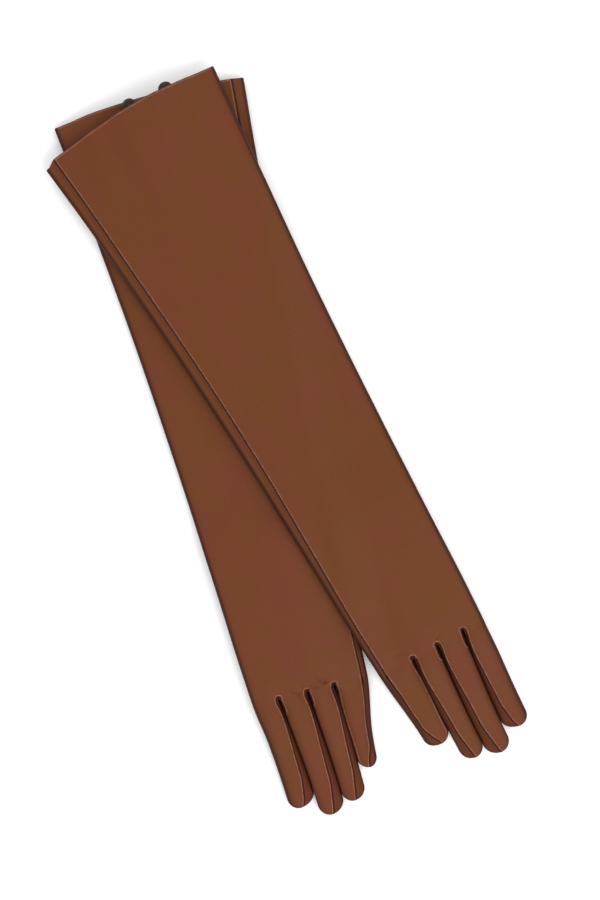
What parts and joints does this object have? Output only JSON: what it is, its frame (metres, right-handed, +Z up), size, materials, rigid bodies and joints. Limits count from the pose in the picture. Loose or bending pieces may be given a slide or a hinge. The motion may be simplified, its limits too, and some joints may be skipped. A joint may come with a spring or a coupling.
{
  "type": "pair of opera gloves",
  "caption": "Pair of long brown leather opera gloves lying palm down, the right glove crossed over the left, with a round button pair at each cuff.",
  "frame": {"origin": "centre of the bounding box at the level of the surface the gloves lie on", "axes": "+Z up, away from the surface; +Y from the fingertips towards the cuffs, halfway between the two arms; +X to the right as seen from above with the cuffs at the top, the side where the right glove has its fingers"},
  "size_m": [0.1901, 0.5591, 0.0267],
  "materials": {
    "leather": "smooth nappa with a soft satin sheen",
    "leather_edge": "cut or folded leather, matt",
    "silk": "soft lining",
    "thread": "sewing thread",
    "button": "dark, mottled, slightly glossy"
  },
  "bodies": {
    "left_hand": {"left_arm_and_hand": "leather", "left_cuff_hem": "leather_edge", "left_arm_lining": "silk", "left_side_seam_thread": "thread", "left_thumb_gusset": "leather_edge", "left_button_stay_1": "leather_edge", "left_button_stay_2": "leather_edge"},
    "left_index": {"left_index_finger": "leather", "left_fourchette_index": "leather_edge"},
    "left_middle": {"left_middle_finger": "leather", "left_fourchette_middle_a": "leather_edge", "left_fourchette_middle_b": "leather_edge"},
    "left_ring": {"left_ring_finger": "leather", "left_fourchette_ring_a": "leather_edge", "left_fourchette_ring_b": "leather_edge"},
    "left_little": {"left_little_finger": "leather", "left_fourchette_little": "leather_edge"},
    "left_thumb": {"left_thumb": "leather"},
    "left_button_1": {"left_button_1": "button"},
    "left_button_2": {"left_button_2": "button"},
    "right_hand": {"right_arm_and_hand": "leather", "right_cuff_hem": "leather_edge", "right_arm_lining": "silk", "right_side_seam_thread": "thread", "right_thumb_gusset": "leather_edge", "right_button_stay_1": "leather_edge", "right_button_stay_2": "leather_edge"},
    "right_index": {"right_index_finger": "leather", "right_fourchette_index": "leather_edge"},
    "right_middle": {"right_middle_finger": "leather", "right_fourchette_middle_a": "leather_edge", "right_fourchette_middle_b": "leather_edge"},
    "right_ring": {"right_ring_finger": "leather", "right_fourchette_ring_a": "leather_edge", "right_fourchette_ring_b": "leather_edge"},
    "right_little": {"right_little_finger": "leather", "right_fourchette_little": "leather_edge"},
    "right_thumb": {"right_thumb": "leather"},
    "right_button_1": {"right_button_1": "button"},
    "right_button_2": {"right_button_2": "button"}
  },
  "joints": [
    {"name": "right_glove_lift", "type": "slide", "parent": "left_hand", "child": "right_hand", "axis": [0, 0, 1], "range_m": [0, 0.12]},
    {"name": "left_index_bend", "type": "hinge", "parent": "left_hand", "child": "left_index", "pos_m": [-0.08127, -0.17521, 0.01291], "axis": [-0.9966, 0.0827, 0], "range_deg": [0, 55]},
    {"name": "left_middle_bend", "type": "hinge", "parent": "left_hand", "child": "left_middle", "pos_m": [-0.06112, -0.17904, 0.01282], "axis": [-0.9971, 0.0759, 0], "range_deg": [0, 55]},
    {"name": "left_ring_bend", "type": "hinge", "parent": "left_hand", "child": "left_ring", "pos_m": [-0.03989, -0.18183, 0.0125], "axis": [-0.9949, 0.1011, 0], "range_deg": [0, 55]},
    {"name": "left_little_bend", "type": "hinge", "parent": "left_hand", "child": "left_little", "pos_m": [-0.01643, -0.18519, 0.0083], "axis": [-0.9823, 0.1874, 0], "range_deg": [0, 55]},
    {"name": "left_thumb_swing", "type": "hinge", "parent": "left_hand", "child": "left_thumb", "pos_m": [-0.05589, -0.09826, 0.0029], "axis": [0, 0, 1], "range_deg": [-50, 0]},
    {"name": "left_button_1_twist", "type": "hinge", "parent": "left_hand", "child": "left_button_1", "pos_m": [0.00774, 0.26297, 0.0041], "axis": [0, 0, 1], "range_deg": [-60, 60]},
    {"name": "left_button_2_twist", "type": "hinge", "parent": "left_hand", "child": "left_button_2", "pos_m": [-0.02173, 0.26595, 0.0041], "axis": [0, 0, 1], "range_deg": [-60, 60]},
    {"name": "right_index_bend", "type": "hinge", "parent": "right_hand", "child": "right_index", "pos_m": [0.08365, -0.1826, 0.01276], "axis": [-0.9994, -0.0339, 0], "range_deg": [0, 55]},
    {"name": "right_middle_bend", "type": "hinge", "parent": "right_hand", "child": "right_middle", "pos_m": [0.06334, -0.18544, 0.01275], "axis": [-0.9996, -0.0271, 0], "range_deg": [0, 55]},
    {"name": "right_ring_bend", "type": "hinge", "parent": "right_hand", "child": "right_ring", "pos_m": [0.04201, -0.1872, 0.01272], "axis": [-0.9986, -0.0524, 0], "range_deg": [0, 55]},
    {"name": "right_little_bend", "type": "hinge", "parent": "right_hand", "child": "right_little", "pos_m": [0.01841, -0.1894, 0.00911], "axis": [-0.9903, -0.1392, 0], "range_deg": [0, 55]},
    {"name": "right_thumb_swing", "type": "hinge", "parent": "right_hand", "child": "right_thumb", "pos_m": [0.05788, -0.104, 0.0029], "axis": [0, 0, 1], "range_deg": [0, 50]},
    {"name": "right_button_1_twist", "type": "hinge", "parent": "right_hand", "child": "right_button_1", "pos_m": [-0.00072, 0.27214, 0.01735], "axis": [0, 0, 1], "range_deg": [-60, 60]},
    {"name": "right_button_2_twist", "type": "hinge", "parent": "right_hand", "child": "right_button_2", "pos_m": [0.02893, 0.27373, 0.01399], "axis": [0, 0, 1], "range_deg": [-60, 60]}
  ]
}
